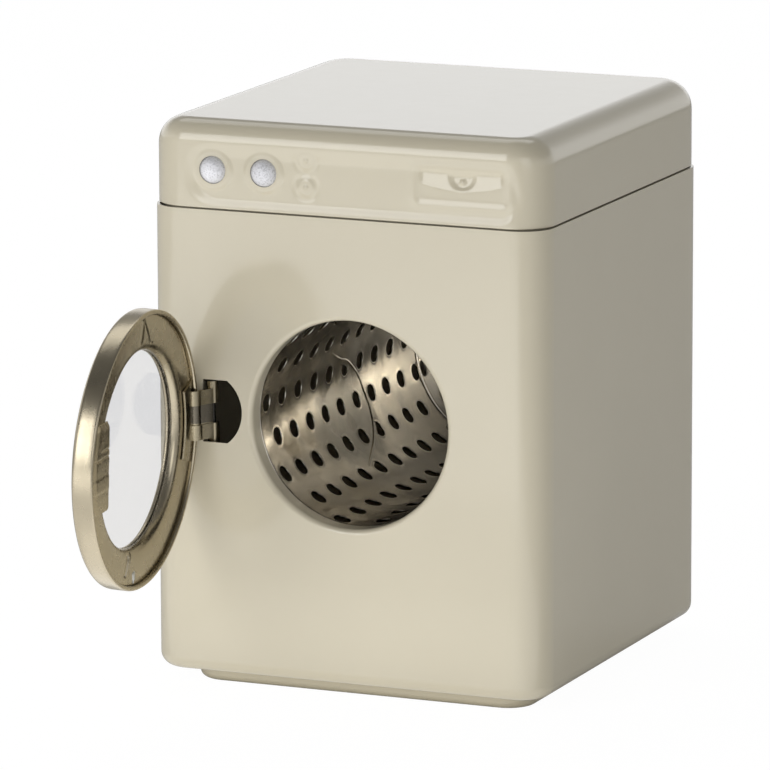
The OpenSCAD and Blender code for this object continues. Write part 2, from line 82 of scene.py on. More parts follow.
# ---------------------------------------------------------------- mesh helpers
def place(obj, body, mat, *nodes, slot=None):
    """Rides a new piece on a body, gives it its finish and hides the nodes it stands for."""
    obj.data.materials.append(MATERIALS[mat])
    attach(obj, body)
    if nodes:
        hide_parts(*nodes)
    return obj


def linked(name, data):
    """A new object in the scene."""
    obj = bpy.data.objects.new(name, data)
    bpy.context.scene.collection.objects.link(obj)
    return obj


def shade_smooth(mesh):
    mesh.polygons.foreach_set("use_smooth", [True] * len(mesh.polygons))


def new_object(name, verts, faces):
    """A smooth mesh object, with doubled points joined and its faces turned outward."""
    mesh = bpy.data.meshes.new(name)
    mesh.from_pydata([tuple(v) for v in verts], [], faces)
    mesh.validate()
    bm = bmesh.new()
    bm.from_mesh(mesh)
    bmesh.ops.remove_doubles(bm, verts=bm.verts, dist=SAME_POINT)
    bmesh.ops.recalc_face_normals(bm, faces=bm.faces)
    bm.to_mesh(mesh)
    bm.free()
    shade_smooth(mesh)
    return linked(name, mesh)


def grid_faces(rows, cols, wrap_rows=False, wrap_cols=False):
    """Quads between the points of a grid that is stored row by row."""
    faces = []
    for i in range(rows if wrap_rows else rows - 1):
        for j in range(cols if wrap_cols else cols - 1):
            a, b = i * cols + j, i * cols + (j + 1) % cols
            c, d = ((i + 1) % rows) * cols + (j + 1) % cols, ((i + 1) % rows) * cols + j
            faces.append((a, b, c, d))
    return faces


def smoothstep(a, b, x):
    """0 at a, 1 at b and a soft step between; b may be less than a."""
    t = min(1, max(0, (x - a) / (b - a)))
    return t * t * (3 - 2 * t)


def lerp(a, b, t):
    return a + (b - a) * t


def arc(cx, cy, r, a0, a1, n):
    """n + 1 points of an arc, with angles in degrees."""
    return [(cx + r * math.cos(math.radians(lerp(a0, a1, i / n))),
             cy + r * math.sin(math.radians(lerp(a0, a1, i / n)))) for i in range(n + 1)]


def lathe(name, profile, centre, axis, ref, angles, closed=True, bend=None):
    """Turns a section of (radius, height) in mm; the last of the angles repeats the first.

    bend(radius, height, angle) gives the moved (radius, height).
    """
    side = ref.cross(axis)
    verts = []
    for r, h in profile:
        for t in angles[:-1]:
            rr, hh = bend(r, h, t) if bend else (r, h)
            out = ref * math.cos(t) + side * math.sin(t)
            verts.append(centre + out * (rr * MM) + axis * (hh * MM))
    faces = grid_faces(len(profile), len(angles) - 1, wrap_rows=closed, wrap_cols=True)
    return new_object(name, verts, faces)


def turns(n):
    """The angles of a full turn in radians, in n equal steps."""
    return [2 * math.pi * (i / n) for i in range(n + 1)]


def spline(points, per=6):
    """Smooth curve through the points (Catmull-Rom)."""
    out = []
    pts = [points[0]] + list(points) + [points[-1]]
    for p0, p1, p2, p3 in zip(pts, pts[1:], pts[2:], pts[3:]):
        for i in range(per):
            t = i / per
            out.append(tuple(0.5 * (2 * b + (c - a) * t + (2 * a - 5 * b + 4 * c - d) * t * t
                                    + (3 * b - a - 3 * c + d) * t ** 3)
                             for a, b, c, d in zip(p0, p1, p2, p3)))
    return out + [tuple(points[-1])]


def fine_turns(spans, coarse=2.0, fine=0.4):
    """Angles of a full turn in radians, close together inside the spans (degrees)."""
    out, a, full = [], 0.0, 360 - 1e-6
    while a < full:
        out.append(math.radians(a))
        near = any(lo <= a <= hi or lo <= a + 360 <= hi for lo, hi in spans)
        a += fine if near else coarse
    return out + [2 * math.pi]


def seg_distance(x, y, a, b):
    """Distance from a point to the line between a and b."""
    ax, ay, bx, by = *a, *b
    dx, dy = bx - ax, by - ay
    t = min(1, max(0, ((x - ax) * dx + (y - ay) * dy) / (dx * dx + dy * dy)))
    return math.hypot(x - ax - t * dx, y - ay - t * dy)


def box_distance(x, z, hx, hz, r):
    """Signed distance to a rectangle with round corners, negative inside."""
    qx, qz = abs(x) - hx + r, abs(z) - hz + r
    return math.hypot(max(qx, 0), max(qz, 0)) + min(max(qx, qz), 0) - r


# ---------------------------------------------------------------- top cap, in mm
CAP_TOP = 130.0
CAP_EDGE = 5.0                           # radius of the top's front and back edges
SIDE_EDGE = 6.6                          # radius of the top's side edges
CAP_CORNER = 8.7                         # radius of the corners seen from above
AT_TOP = CAP_TOP - 0.0001
HEM = 0.22                               # radius of the rolled lower edge
SKIRT_IN = 0.95                          # the hidden skirt's inset
SKIRT_DOWN = 6.0
SEAM_GAP = 0.35
PRESS = 0.25                             # spacing of the pressed front's points
LEAST_DEPTH = 0.02
TOP_RING = 0.02                          # share of the flat top that lies outside its inner ring

PANEL = (2.0, 118.2)                     # middle of the pressed panel, x and z
PANEL_HALF = (40.8, 7.1)
PANEL_ROUND = 5.6
PANEL_FLOOR = 0.42                       # depth of its floor
PANEL_END = 0.25                         # least depth where it runs onto the cap's right corner
BOSS = (0.24, 4.0, 5.1)                  # height, flat radius and foot radius round a knob
STUD_X = -8.75
STUD_BOSS = (0.2, 1.5, 2.3)
STUD_PEG = (0.3, 0.1, 0.7)
STUD_DITCH = (0.1, 2.8, 0.5)             # depth, radius and width round a stud
STUD_DROP, STUD_RISE = 2.6, 3.4          # from the knobs' height to the studs
STUD_LEAN = 0.1                          # the upper stud's offset to the right
DRAWER_X = 28.4
DRAWER_BEAD = (11.9, 5.1, 2.4)           # half width, half height and corner radius
DRAWER_TRAY = (10.1, 3.5, 1.2)
BEAD_RISE = 0.20
TRAY_DEPTH = 0.5
GRIP = (0.2, 1.9)                        # the finger scoop's middle, from the drawer's
GRIP_DEPTH = 0.45
GRIP_STUD = 0.42                         # height of the small peg in the scoop


def knob_centres():
    return [((middle(k).x) / MM, (middle(k).z) / MM) for k in ("knob_left", "knob_right")]


def raised(r, height, flat, foot):
    """Height of a round boss at radius r."""
    return height * (1 - smoothstep(flat, foot, r))


def drawer_relief(dx, dz):
    """Depth of the drawer's bead, tray and finger scoop, from the drawer's middle."""
    bead = box_distance(dx, dz, *DRAWER_BEAD)
    tray = 1 - smoothstep(-0.9, 0.2, box_distance(dx, dz, *DRAWER_TRAY))
    depth = -BEAD_RISE * math.exp(-((bead + 0.5) / 0.9) ** 2)
    smile = 0.2 - 1.5 * (1 - (dx / 9.5) ** 2)    # the tray's lower edge sags to its middle
    slope = min(1, max(0, (dz - smile) / (DRAWER_TRAY[1] - smile)))
    depth += tray * TRAY_DEPTH * smoothstep(-0.9, 0.9, dz - smile) * slope
    gx, gz = dx - GRIP[0], dz - GRIP[1]
    if gz < 0.9:
        grip = math.hypot(gx, gz * 1.15)
        depth += GRIP_DEPTH * (1 - smoothstep(2.2, 3.5, grip)) * (1 - smoothstep(0.1, 0.8, gz))
    return depth - raised(math.hypot(gx, gz + 1.0), GRIP_STUD, 0.0, 1.0)


def panel_depth(x, z, natural, knobs, studs, drawer):
    """Depth of the pressed front at x, z; natural is the plain cap's own depth there."""
    edge = box_distance(x - PANEL[0], z - PANEL[1], *PANEL_HALF, PANEL_ROUND)
    soft = lerp(1.6, 4.3, smoothstep(117, 124, z)) + 4 * smoothstep(-30, -38, x)
    mask = 1 - smoothstep(-soft, 0.3, edge)      # soft is the width of the wall round the floor
    relief = max(PANEL_END * smoothstep(34, 40, x), PANEL_FLOOR - natural)
    for kx, kz in knobs:
        relief -= raised(math.hypot(x - kx, z - kz), *BOSS)
    for sx, sz in studs:
        r = math.hypot(x - sx, z - sz)
        deep, ditch_r, wide = STUD_DITCH
        relief += deep * math.exp(-((r - ditch_r) / wide) ** 2)
        relief -= raised(r, *STUD_BOSS) + raised(r, *STUD_PEG)
    relief += drawer_relief(x - drawer[0], z - drawer[1])
    return max(natural + mask * relief, LEAST_DEPTH)


def cap_outline(cx, cy):
    """One level's points: a kind, then what the kind needs to place it."""
    n_front = int(2 * cx / PRESS)
    coarse, corner, fine_corner = 8, 14, 36
    spots = [("line", lerp(-cx, cx, i / n_front), -1) for i in range(n_front + 1)]
    spots += [("corner", (cx, -cy), -90 + 90 * i / fine_corner) for i in range(1, fine_corner)]
    spots += [("side", 1, lerp(-cy, cy, i / coarse)) for i in range(coarse + 1)]
    spots += [("corner", (cx, cy), 90 * i / corner) for i in range(1, corner)]
    spots += [("line", lerp(cx, -cx, i / coarse), 1) for i in range(coarse + 1)]
    spots += [("corner", (-cx, cy), 90 + 90 * i / corner) for i in range(1, corner)]
    spots += [("side", -1, lerp(cy, -cy, i / coarse)) for i in range(coarse + 1)]
    spots += [("corner", (-cx, -cy), 180 + 90 * i / fine_corner) for i in range(1, fine_corner)]
    return spots


def cap_levels():
    """(inset, height) of the cap's section, from the hidden skirt up to the flat top."""
    seam = high("body_shell")[2] / MM + SEAM_GAP
    edge_z = CAP_TOP - CAP_EDGE
    levels = [(SKIRT_IN, seam - SKIRT_DOWN), (SKIRT_IN, seam + 0.3), (0.55, seam + 0.25)]
    for a in (math.radians(degrees) for degrees in (0, 30, 60, 90)):
        levels.append((HEM - HEM * math.sin(a), seam + HEM - HEM * math.cos(a)))
    rows = math.ceil((edge_z - seam) / PRESS)
    levels += [(0, lerp(seam + HEM, edge_z, i / rows)) for i in range(1, rows)]
    steps = 46
    for a in (math.radians(90 * i / steps) for i in range(steps + 1)):
        levels.append((CAP_EDGE - CAP_EDGE * math.cos(a), edge_z + CAP_EDGE * math.sin(a)))
    return levels


def top_cap():
    """The pressed cap, rounder at its sides than at its front, with its control panel."""
    cap = Vector(high("top_cap")) / MM
    cx, cy = cap.x - CAP_CORNER, cap.y - CAP_CORNER
    knobs = knob_centres()
    knob_z = knobs[0][1]
    studs = [(STUD_X, knob_z - STUD_DROP), (STUD_X + STUD_LEAN, knob_z + STUD_RISE)]
    drawer = (DRAWER_X, knob_z)

    def at(spot, inset, z):
        kind, a, b = spot
        rise = z - (CAP_TOP - SIDE_EDGE)
        if z > AT_TOP:
            side_inset = SIDE_EDGE
        elif rise < 0:
            side_inset = inset
        else:
            side_inset = SIDE_EDGE - math.sqrt(max(0, SIDE_EDGE ** 2 - rise ** 2))
        r, side_r = CAP_CORNER - inset, CAP_CORNER - side_inset
        if kind == "line":
            return a, b * (cy + r)
        if kind == "side":
            return a * (cx + side_r), b
        return a[0] + side_r * math.cos(math.radians(b)), a[1] + r * math.sin(math.radians(b))

    spots, levels = cap_outline(cx, cy), cap_levels()
    skirt_levels = 3
    verts = []
    for level, (inset, z) in enumerate(levels):
        for spot in spots:
            x, y = at(spot, inset, z)
            if level >= skirt_levels and y < -cy:
                y = -cap.y + panel_depth(x, z, cap.y + y, knobs, studs, drawer)
            verts.append(Vector((x, y, z)) * MM)
    n = len(spots)
    verts += [v - Vector((v.x, v.y, 0)) * TOP_RING for v in verts[-n:]]
    faces = grid_faces(len(levels) + 1, n, wrap_cols=True)
    faces.append(tuple(range(len(verts) - n, len(verts))))
    return place(new_object("top_cap_pressing", verts, faces), "cabinet", "enamel", "top_cap")


# ---------------------------------------------------------------- door, in mm from its axis
DOOR_R = 31.2
RIM_R = 0.55                             # radius of the outer pressing's rolled rim
WINDOW_R = 22.0
TUCK_R = 30.6                            # inside the rolled rim
FACE_ROOM = 0.25                         # keeps the crowned outer face inside the CAD ring
FINE_SPANS = ((80, 106), (276, 306), (-16, 26), (344, 386))    # degrees that hold marks
LIP_Z = -2.9                             # below this the inner pressing's lip is left round
WAVE = 0.04

CATCH_LOW, CATCH_HIGH = -8.2, 11.6       # the catch plate's ends, up the door
CATCH_IN, CATCH_OUT = 20.75, 29.5        # its inner edge, and the radius of its outer edge
CATCH_ROUND = 0.9                        # the corner at its lower inner end
CATCH_SHEET = 0.35
SOLDER_AT = (4.2, -27.9, -1.35)          # along, up and through the door
SOLDER_HALF = (1.15, 2.0, 0.55)
STRAP_BEVEL = 0.14


def inner_marks(u, v):
    """Depth of the creases and the open joint on the inner pressing."""
    out = 0.0
    for a, b, deep, wide in (((-0.5, 29.4), (-4.4, 23.4), 0.20, 0.16),
                             ((-4.4, 23.4), (-6.0, 23.1), 0.14, 0.16),
                             ((-0.3, 29.2), (0.8, 24.6), 0.14, 0.7),
                             ((4.9, -22.4), (6.7, -25.2), 0.24, 0.17),
                             ((6.7, -25.2), (7.3, -28.4), 0.24, 0.17)):
        out += deep * math.exp(-(seg_distance(u, v, a, b) / wide) ** 2)
    joint_gap = seg_distance(u, v, (9.0, -26.2), (6.9, -23.0))
    return out + 0.45 * math.exp(-(joint_gap / 0.8) ** 4)


def inner_bend(r, h, t):
    """Adds the marks and a slight wave to the inner pressing's face."""
    if h < LIP_Z:
        return r, h
    u, v = r * math.cos(t), r * math.sin(t)
    wave = WAVE * mnoise.noise(Vector((u, v, 3)) * 0.16)
    return r, h + (wave - inner_marks(u, v)) * smoothstep(-2.6, -1.9, h)


def door_depth():
    """Depth of the outer face's crown below the inner rim, from the CAD ring."""
    ring = frame["nodes"]["door_front_ring"]
    heights = [(ring.matrix_world @ v.co - door_at).dot(door_w) for v in ring.data.vertices]
    return -min(heights) / MM - FACE_ROOM


def door_rings():
    """Both pressings: the inner one is tucked under the outer one's rolled rim."""
    deep = door_depth()
    angles = fine_turns(FINE_SPANS)
    outer = arc(DOOR_R - RIM_R, -RIM_R, RIM_R, 0, 200, 14)
    outer += [(30.05, -1.4), (TUCK_R, -2.2), (TUCK_R, 1.0 - deep)]
    outer += [(22.6, 0.8 - deep), (22.6, 1.2 - deep)]
    face = [(WINDOW_R, 1.2), (22.02, 0.75), (22.5, 0.3), (24.0, -0.02), (26.6, -0.18),
            (29.2, -0.05), (30.4, 0.25), (31.05, 0.8), (DOOR_R, 1.5)]
    outer += spline([(r, h - deep) for r, h in face], 5)
    outer += [(DOOR_R, -2.6), (DOOR_R, -1.4)]
    front = lathe("door_outer_pressing", outer, door_at, door_w, door_u, angles)
    place(front, "door", "nickel", "door_front_ring")
    inner = spline([(WINDOW_R, -3.5), (22.1, -2.8), (22.5, -2.05), (23.3, -1.45), (24.6, -1.1),
                    (26.2, -0.98), (27.8, -0.96), (29.0, -1.0), (30.0, -1.12)], 7)
    inner += [(29.95, -1.7), (26, -1.5), (23.9, -1.8), (22.9, -2.6), (22.5, -3.5)]
    back = lathe("door_inner_pressing", inner, door_at, door_w, door_u, angles, bend=inner_bend)
    place(back, "door", "nickel", "door_inner_ring")


def catch_relief(u, v):
    """Height of the catch plate's face: its rims, its two slits and its turned-down end."""
    short_slit, long_slit = 5.6, 3.9
    w = -0.42 - 0.35 * smoothstep(27.3, CATCH_OUT, math.hypot(u, v))     # outer edge
    w -= 0.45 * smoothstep(10.2, CATCH_HIGH, v)                          # upper end
    w -= 0.30 * math.exp(-((v - short_slit) / 0.16) ** 2) * (1 - smoothstep(23.6, 25.2, u))
    w -= 0.34 * math.exp(-((v - long_slit) / 0.18) ** 2)
    w -= 0.12 * smoothstep(3.7, -1.0, v)                                 # dip below the slits
    return w + 0.10 * smoothstep(-0.2, -0.6, v) - 0.08 * (1 - smoothstep(-3.6, -3.2, v))


def catch_plate():
    """Spring plate at the free edge."""
    verts, rows, cols = [], 104, 22
    for i in range(rows):
        v = lerp(CATCH_LOW, CATCH_HIGH, i / (rows - 1))
        turn = max(0, (CATCH_LOW + CATCH_ROUND - v) / CATCH_ROUND)
        inner_u = CATCH_IN + CATCH_ROUND * (1 - math.sqrt(max(0, 1 - turn ** 2)))
        outer_u = math.sqrt(CATCH_OUT ** 2 - v * v)
        for j in range(cols):
            u = lerp(inner_u, outer_u, j / (cols - 1))
            verts.append(door_at + (door_u * u + door_v * v + door_w * catch_relief(u, v)) * MM)
    obj = new_object("door_spring_catch", verts, grid_faces(rows, cols))
    solid = obj.modifiers.new("thickness", "SOLIDIFY")
    solid.thickness = CATCH_SHEET * MM
    solid.offset = 0
    apply_modifiers(obj)
    return place(obj, "door", "nickel", "door_catch", slot="steel")


def solder():
    """Blob of solder over the inner pressing's joint."""
    along, up, through = SOLDER_AT
    bm = bmesh.new()
    bmesh.ops.create_icosphere(bm, subdivisions=4, radius=1)
    for vert in bm.verts:
        p = vert.co.copy()
        lump = 1 + 0.28 * mnoise.noise(p * 1.6) + 0.1 * mnoise.noise(p * 5)
        u, v = p.x * SOLDER_HALF[0] * lump, p.z * SOLDER_HALF[1] * lump
        w = p.y * SOLDER_HALF[2] * lump
        lean = 0.15 * v
        vert.co = door_at + (door_u * (along + u + lean) + door_v * (up + v)
                             + door_w * (through + w)) * MM
    mesh = bpy.data.meshes.new("door_solder")
    bm.to_mesh(mesh)
    bm.free()
    shade_smooth(mesh)
    return place(linked("door_solder", mesh), "door", "solder", slot="steel")


def apply_modifiers(obj):
    bpy.context.view_layer.update()
    depsgraph = bpy.context.evaluated_depsgraph_get()
    mesh = bpy.data.meshes.new_from_object(obj.evaluated_get(depsgraph))
    obj.modifiers.clear()
    old = obj.data
    obj.data = mesh
    bpy.data.meshes.remove(old)


def softened(node, name, body, mat, width, slot):
    """A copy of a CAD piece with its sharp edges broken, to stand for it."""
    obj = linked(name, frame["nodes"][node].data.copy())
    obj.data.materials.clear()
    bm = bmesh.new()
    bm.from_mesh(obj.data)
    bmesh.ops.remove_doubles(bm, verts=bm.verts, dist=SAME_POINT)
    bmesh.ops.dissolve_limit(bm, angle_limit=math.radians(0.5), verts=bm.verts, edges=bm.edges)
    bm.to_mesh(obj.data)
    bm.free()
    bevel = obj.modifiers.new("edge", "BEVEL")
    bevel.width = width * MM
    bevel.segments = 2
    bevel.limit_method = "ANGLE"
    bevel.angle_limit = math.radians(30)
    apply_modifiers(obj)
    shade_smooth(obj.data)
    weight = obj.modifiers.new("normals", "WEIGHTED_NORMAL")
    weight.keep_sharp = True
    return place(obj, body, mat, node, slot=slot)


# ---------------------------------------------------------------- drum, in mm
DRUM_R = 24.2                            # the sheet's inner skin
DEGREE = math.radians(1) * DRUM_R        # one degree's length round the sheet
SHEET = 0.5
END_GAP = 0.5                            # from the CAD drum's ends to the sheet's
ROWS = 18
HOLES = 10                               # in one row
PITCH = 8.8                              # between the holes of a row
ROW_PHASE = -3.8                         # degrees
FIRST_HOLE = -40.6
CELL_STEPS = 8                           # along one side of a hole's cell
LEAST_STEP = 1e-6
HOOP_R = 0.44                            # radius of the front hoop's roll
HOOP_STEPS = 144
FOLD_HALF = 1.3                          # half width of the fold's strip


def drum_dent(theta, y):
    """Unevenness of the rolled sheet."""
    p = Vector((math.cos(theta) * 1.6, y * 0.055, math.sin(theta) * 1.6))
    q = Vector((math.cos(theta) * 4.5, y * 0.16, math.sin(theta) * 4.5))
    return 0.32 * mnoise.noise(p) + 0.09 * mnoise.noise(q + Vector((7, 3, 1)))


def drum_point(theta, y, depth):
    """A point of the dented sheet; depth is the distance outside its inner skin."""
    r = DRUM_R + depth - drum_dent(theta, y)
    x, z = r * MM * math.cos(theta), r * MM * math.sin(theta)
    return Vector((drum_at.x + x, y * MM, drum_at.z + z))


def cell_border(a0, a1, half):
    """Points round one hole's cell, in mm along the drum and degrees round it.

    Neighbouring cells share the points of the border between them.
    """
    step = PITCH / CELL_STEPS
    first, last = math.ceil((a0 - FIRST_HOLE) / step), math.floor((a1 - FIRST_HOLE) / step)
    stops = [FIRST_HOLE + k * step for k in range(first, last + 1)]
    along = [a0] + [a for a in stops if a0 + LEAST_STEP < a < a1 - LEAST_STEP] + [a1]
    across = [lerp(-half, half, k / CELL_STEPS) for k in range(1, CELL_STEPS)]
    return ([(a, -half) for a in along] + [(a1, t) for t in across]
            + [(a, half) for a in reversed(along)] + [(a0, t) for t in reversed(across)])


def drum_shell():
    """The perforated sheet, one cell to a hole, with a small lip pressed inward round each hole."""
    y0 = low("drum_shell")[1] / MM + END_GAP
    y1 = high("drum_shell")[1] / MM - END_GAP
    half = 180 / ROWS
    # radius and depth of each ring from the outer skin, through the hole, to the inner skin;
    # None is the cell's own border
    rings = [(None, SHEET), (2.6, SHEET), (2.06, SHEET - 0.02), (2.02, SHEET * 0.7),
             (1.98, 0.16), (1.98, 0.08), (2.02, 0.0), (2.1, -0.03), (2.2, -0.025), (2.4, 0.0),
             (2.9, 0), (None, 0)]
    verts, faces = [], []
    for row in range(ROWS):
        theta = ROW_PHASE + row * 2 * half
        shift = (0.5 - (row % 2) / 2) * PITCH
        for i in range(HOLES):
            hole_y = FIRST_HOLE + shift + i * PITCH
            a0 = y0 if i == 0 else hole_y - PITCH / 2
            a1 = y1 if i == HOLES - 1 else hole_y + PITCH / 2
            border = cell_border(a0, a1, half)
            base = len(verts)
            for radius, depth in rings:
                for a, t in border:
                    da, dt = a - hole_y, t * DEGREE
                    if radius:
                        reach = math.hypot(da, dt)
                        da, dt = da / reach * radius, dt / reach * radius
                    verts.append(drum_point(math.radians(theta + dt / DEGREE), hole_y + da, depth))
            ring_faces = grid_faces(len(rings), len(border), wrap_cols=True)
            faces += [tuple(base + f for f in face) for face in ring_faces]
    obj = new_object("drum_perforated_sheet", verts, faces)
    return place(obj, "drum", "drum_sheet", "drum_shell")


def drum_hoops():
    """Rolled hoops at the sheet's front and back ends."""
    y0, y1 = low("drum_shell")[1] / MM, high("drum_shell")[1] / MM
    front = arc(DRUM_R + 0.1, y0 + 0.45, HOOP_R, 90, 450, 14)[:-1]
    back = [(DRUM_R - 0.5, y1 - 0.55), (DRUM_R + 0.3, y1 - 0.6), (DRUM_R + 0.5, y1 - 0.3),
            (DRUM_R + 0.3, y1), (DRUM_R - 0.5, y1)]
    centre = Vector((drum_at.x, 0, drum_at.z))
    for name, section in (("drum_front_hoop", front), ("drum_back_hoop", back)):
        obj = lathe(name, section, centre, INWARD, ACROSS, turns(HOOP_STEPS))
        place(obj, "drum", "drum_sheet")


def drum_fold():
    """Fold in the rolled sheet that wanders round the drum between its holes."""
    path = spline([(163, -7), (169.5, -0.5), (173.5, 5), (183.5, 11), (194, 13), (203, 13.2),
                   (212.5, 11), (221.5, 6), (227.5, 0.5), (233, -5)], 8)     # degrees and mm
    verts, cols = [], 13
    for i, (a, y) in enumerate(path):
        before, after = path[max(0, i - 1)], path[min(len(path) - 1, i + 1)]
        along = Vector(((after[0] - before[0]) * DEGREE, after[1] - before[1])).normalized()
        fade = math.sin(math.pi * (i + 0.5) / len(path)) ** 0.5
        for j in range(cols):
            s = lerp(-FOLD_HALF, FOLD_HALF, j / (cols - 1))
            crest, ditch = math.exp(-(s / 0.3) ** 2), math.exp(-((s - 0.9) / 0.4) ** 2)
            rise = (0.26 * crest - 0.12 * ditch) * fade - 0.03
            theta = math.radians(a - along.y * s / DEGREE)
            verts.append(drum_point(theta, y + along.x * s, -rise))
    obj = new_object("drum_sheet_fold", verts, grid_faces(len(path), cols))
    place(obj, "drum", "drum_sheet")


# ---------------------------------------------------------------- knobs, in mm
KNOB_R = 3.2
KNOB_DOME = 2.35                         # height of the dome over the knob's edge
KNOB_STEPS = 120
PLAIN_FROM = 2.75                        # the rim and stem behind this have no hammering


def knob(node):
    """Hammered dome with a turned-in rim and the stub of its stem."""
    box_lo, box_hi = Vector(low(node)) / MM, Vector(high(node)) / MM
    cx, cz = (box_lo.x + box_hi.x) / 2, (box_lo.z + box_hi.z) / 2
    seed = Vector((cx, 0, cz))
    steps, profile = 26, [(0.02, 0.0)]
    for a in (math.radians(90 * i / steps) for i in range(1, steps + 1)):
        profile.append((KNOB_R * math.sin(a), KNOB_DOME * (1 - math.cos(a))))
    profile += [(KNOB_R, 2.7), (3.12, 3.2), (2.6, 3.4), (1.0, 3.4), (1.0, 5.0), (0.02, 5.0)]

    def hammer(r, h, t):
        p = Vector((r * math.cos(t), r * math.sin(t), h))
        push = 0.03 * mnoise.noise(p * 2.6 + seed) + 0.016 * mnoise.noise(p * 5.5 + seed)
        push = 0 if h > PLAIN_FROM else push * smoothstep(0, 0.6, 3.3 - h)
        slope = min(1, r / KNOB_R)
        return max(0.0, r - push * slope), h + push * (1 - slope)

    front = Vector((cx, box_lo.y, cz)) * MM
    obj = lathe(node + "_dome", profile, front, INWARD, ACROSS, turns(KNOB_STEPS),
                closed=False, bend=hammer)
    return place(obj, node, "knob_metal", node)


# ---------------------------------------------------------------- materials
def srgb(r, g, b):
    """Linear colour from a screen colour in 0..255."""
    def lin(c):
        c /= 255
        return c / 12.92 if c <= 0.04045 else ((c + 0.055) / 1.055) ** 2.4
    return (lin(r), lin(g), lin(b), 1)


def grey(v):
    return (v, v, v, 1)


def nodes_of(mat):
    return mat.node_tree, mat.node_tree.nodes["Principled BSDF"]


def new_material(name):
    mat = bpy.data.materials.new(name)
    mat.use_nodes = True
    return mat, *nodes_of(mat)


def noise_of(tree, scale, detail=2.0, rough=0.5):
    tex = tree.nodes.new("ShaderNodeTexNoise")
    tex.inputs["Scale"].default_value = scale
    tex.inputs["Detail"].default_value = detail
    tex.inputs["Roughness"].default_value = rough
    tree.links.new(tree.nodes.new("ShaderNodeTexCoord").outputs["Object"], tex.inputs["Vector"])
    return tex.outputs["Fac"]


def axes_of(tree, kind):
    """The X, Y and Z sockets of one kind of texture coordinate."""
    split = tree.nodes.new("ShaderNodeSeparateXYZ")
    tree.links.new(tree.nodes.new("ShaderNodeTexCoord").outputs[kind], split.inputs["Vector"])
    return split.outputs


def span_of(tree, value, start, end):
    """0 where value is at start and 1 where it is at end."""
    span = tree.nodes.new("ShaderNodeMapRange")
    span.inputs["From Min"].default_value = start
    span.inputs["From Max"].default_value = end
    tree.links.new(value, span.inputs["Value"])
    return span.outputs["Result"]


def ramp(tree, fac, stops):
    """Colour by fac, through stops of (place, colour)."""
    node = tree.nodes.new("ShaderNodeValToRGB")
    while len(node.color_ramp.elements) < len(stops):
        node.color_ramp.elements.new(0.5)
    for element, (at, colour) in zip(node.color_ramp.elements, stops):
        element.position = at
        element.color = colour
    tree.links.new(fac, node.inputs["Fac"])
    return node.outputs["Color"]


def grey_ramp(tree, fac, *stops):
    return ramp(tree, fac, [(at, grey(v)) for at, v in stops])


def math_node(tree, operation, a, b):
    """A Math node's result; a and b are sockets or numbers."""
    node = tree.nodes.new("ShaderNodeMath")
    node.operation = operation
    for socket, value in zip(node.inputs, (a, b)):
        if isinstance(value, float):
            socket.default_value = value
        else:
            tree.links.new(value, socket)
    return node.outputs[0]


def mix_colour(tree, kind, a, b, factor=1.0):
    """Blend of two colours; each of a, b and factor is a socket or a value."""
    mix = tree.nodes.new("ShaderNodeMix")
    mix.data_type = "RGBA"
    mix.blend_type = kind
    for socket, value in (("A", a), ("B", b), ("Factor", factor)):
        target = [i for i in mix.inputs if i.name == socket and i.enabled][0]
        if isinstance(value, (tuple, float)):
            target.default_value = value
        else:
            tree.links.new(value, target)
    return [o for o in mix.outputs if o.enabled][0]


def mix_surface(tree, share, first, second):
    """Shows second for the given share of rays, and first for the rest."""
    mix = tree.nodes.new("ShaderNodeMixShader")
    tree.links.new(share, mix.inputs["Fac"])
    tree.links.new(first, mix.inputs[1])
    tree.links.new(second, mix.inputs[2])
    tree.links.new(mix.outputs["Shader"], tree.nodes["Material Output"].inputs["Surface"])


def any_of(tree, first, second):
    """1 for the two named kinds of ray, else 0."""
    path = tree.nodes.new("ShaderNodeLightPath")
    return math_node(tree, "MAXIMUM", path.outputs[first], path.outputs[second])


def bump(tree, bsdf, height, distance, strength=1.0, coat=False):
    node = tree.nodes.new("ShaderNodeBump")
    node.inputs["Strength"].default_value = strength
    node.inputs["Distance"].default_value = distance
    tree.links.new(height, node.inputs["Height"])
    tree.links.new(node.outputs["Normal"], bsdf.inputs["Normal"])
    if coat:
        tree.links.new(node.outputs["Normal"], bsdf.inputs["Coat Normal"])


def enamel():
    """Glossy cream enamel: a faint orange peel and a slight change of tone."""
    mat, tree, bsdf = new_material("enamel")
    tones = [(0.3, srgb(206, 198, 176)), (0.7, srgb(208, 200, 178))]
    tree.links.new(ramp(tree, noise_of(tree, 35, 3), tones), bsdf.inputs["Base Color"])
    rough = grey_ramp(tree, noise_of(tree, 160, 3), (0.3, 0.29), (0.7, 0.31))
    tree.links.new(rough, bsdf.inputs["Roughness"])
    bsdf.inputs["Specular IOR Level"].default_value = 0.15
    bsdf.inputs["Coat Weight"].default_value = 1.0
    bsdf.inputs["Coat Roughness"].default_value = 0.13
    bump(tree, bsdf, noise_of(tree, 260, 2), 0.00002, 0.6, coat=True)
    return mat


def metal(name, colour, rough, spread=0.06, grain=900, depth=0.00001, patch=0.86):
    """Bare or plated metal with uneven tarnish and a fine grain.

    patch is the tarnish's share of the colour, and spread is how far the roughness wanders.
    """
    mat, tree, bsdf = new_material(name)
    bsdf.inputs["Metallic"].default_value = 1.0
    dull = tuple(c * patch for c in colour[:3]) + (1,)
    tree.links.new(ramp(tree, noise_of(tree, 90, 4, 0.6), [(0.35, dull), (0.65, colour)]),
                   bsdf.inputs["Base Color"])
    patches = noise_of(tree, 200, 3)
    tree.links.new(grey_ramp(tree, patches, (0.3, rough - spread), (0.7, rough + spread)),
                   bsdf.inputs["Roughness"])
    bump(tree, bsdf, noise_of(tree, grain, 3, 0.6), depth)
    return mat


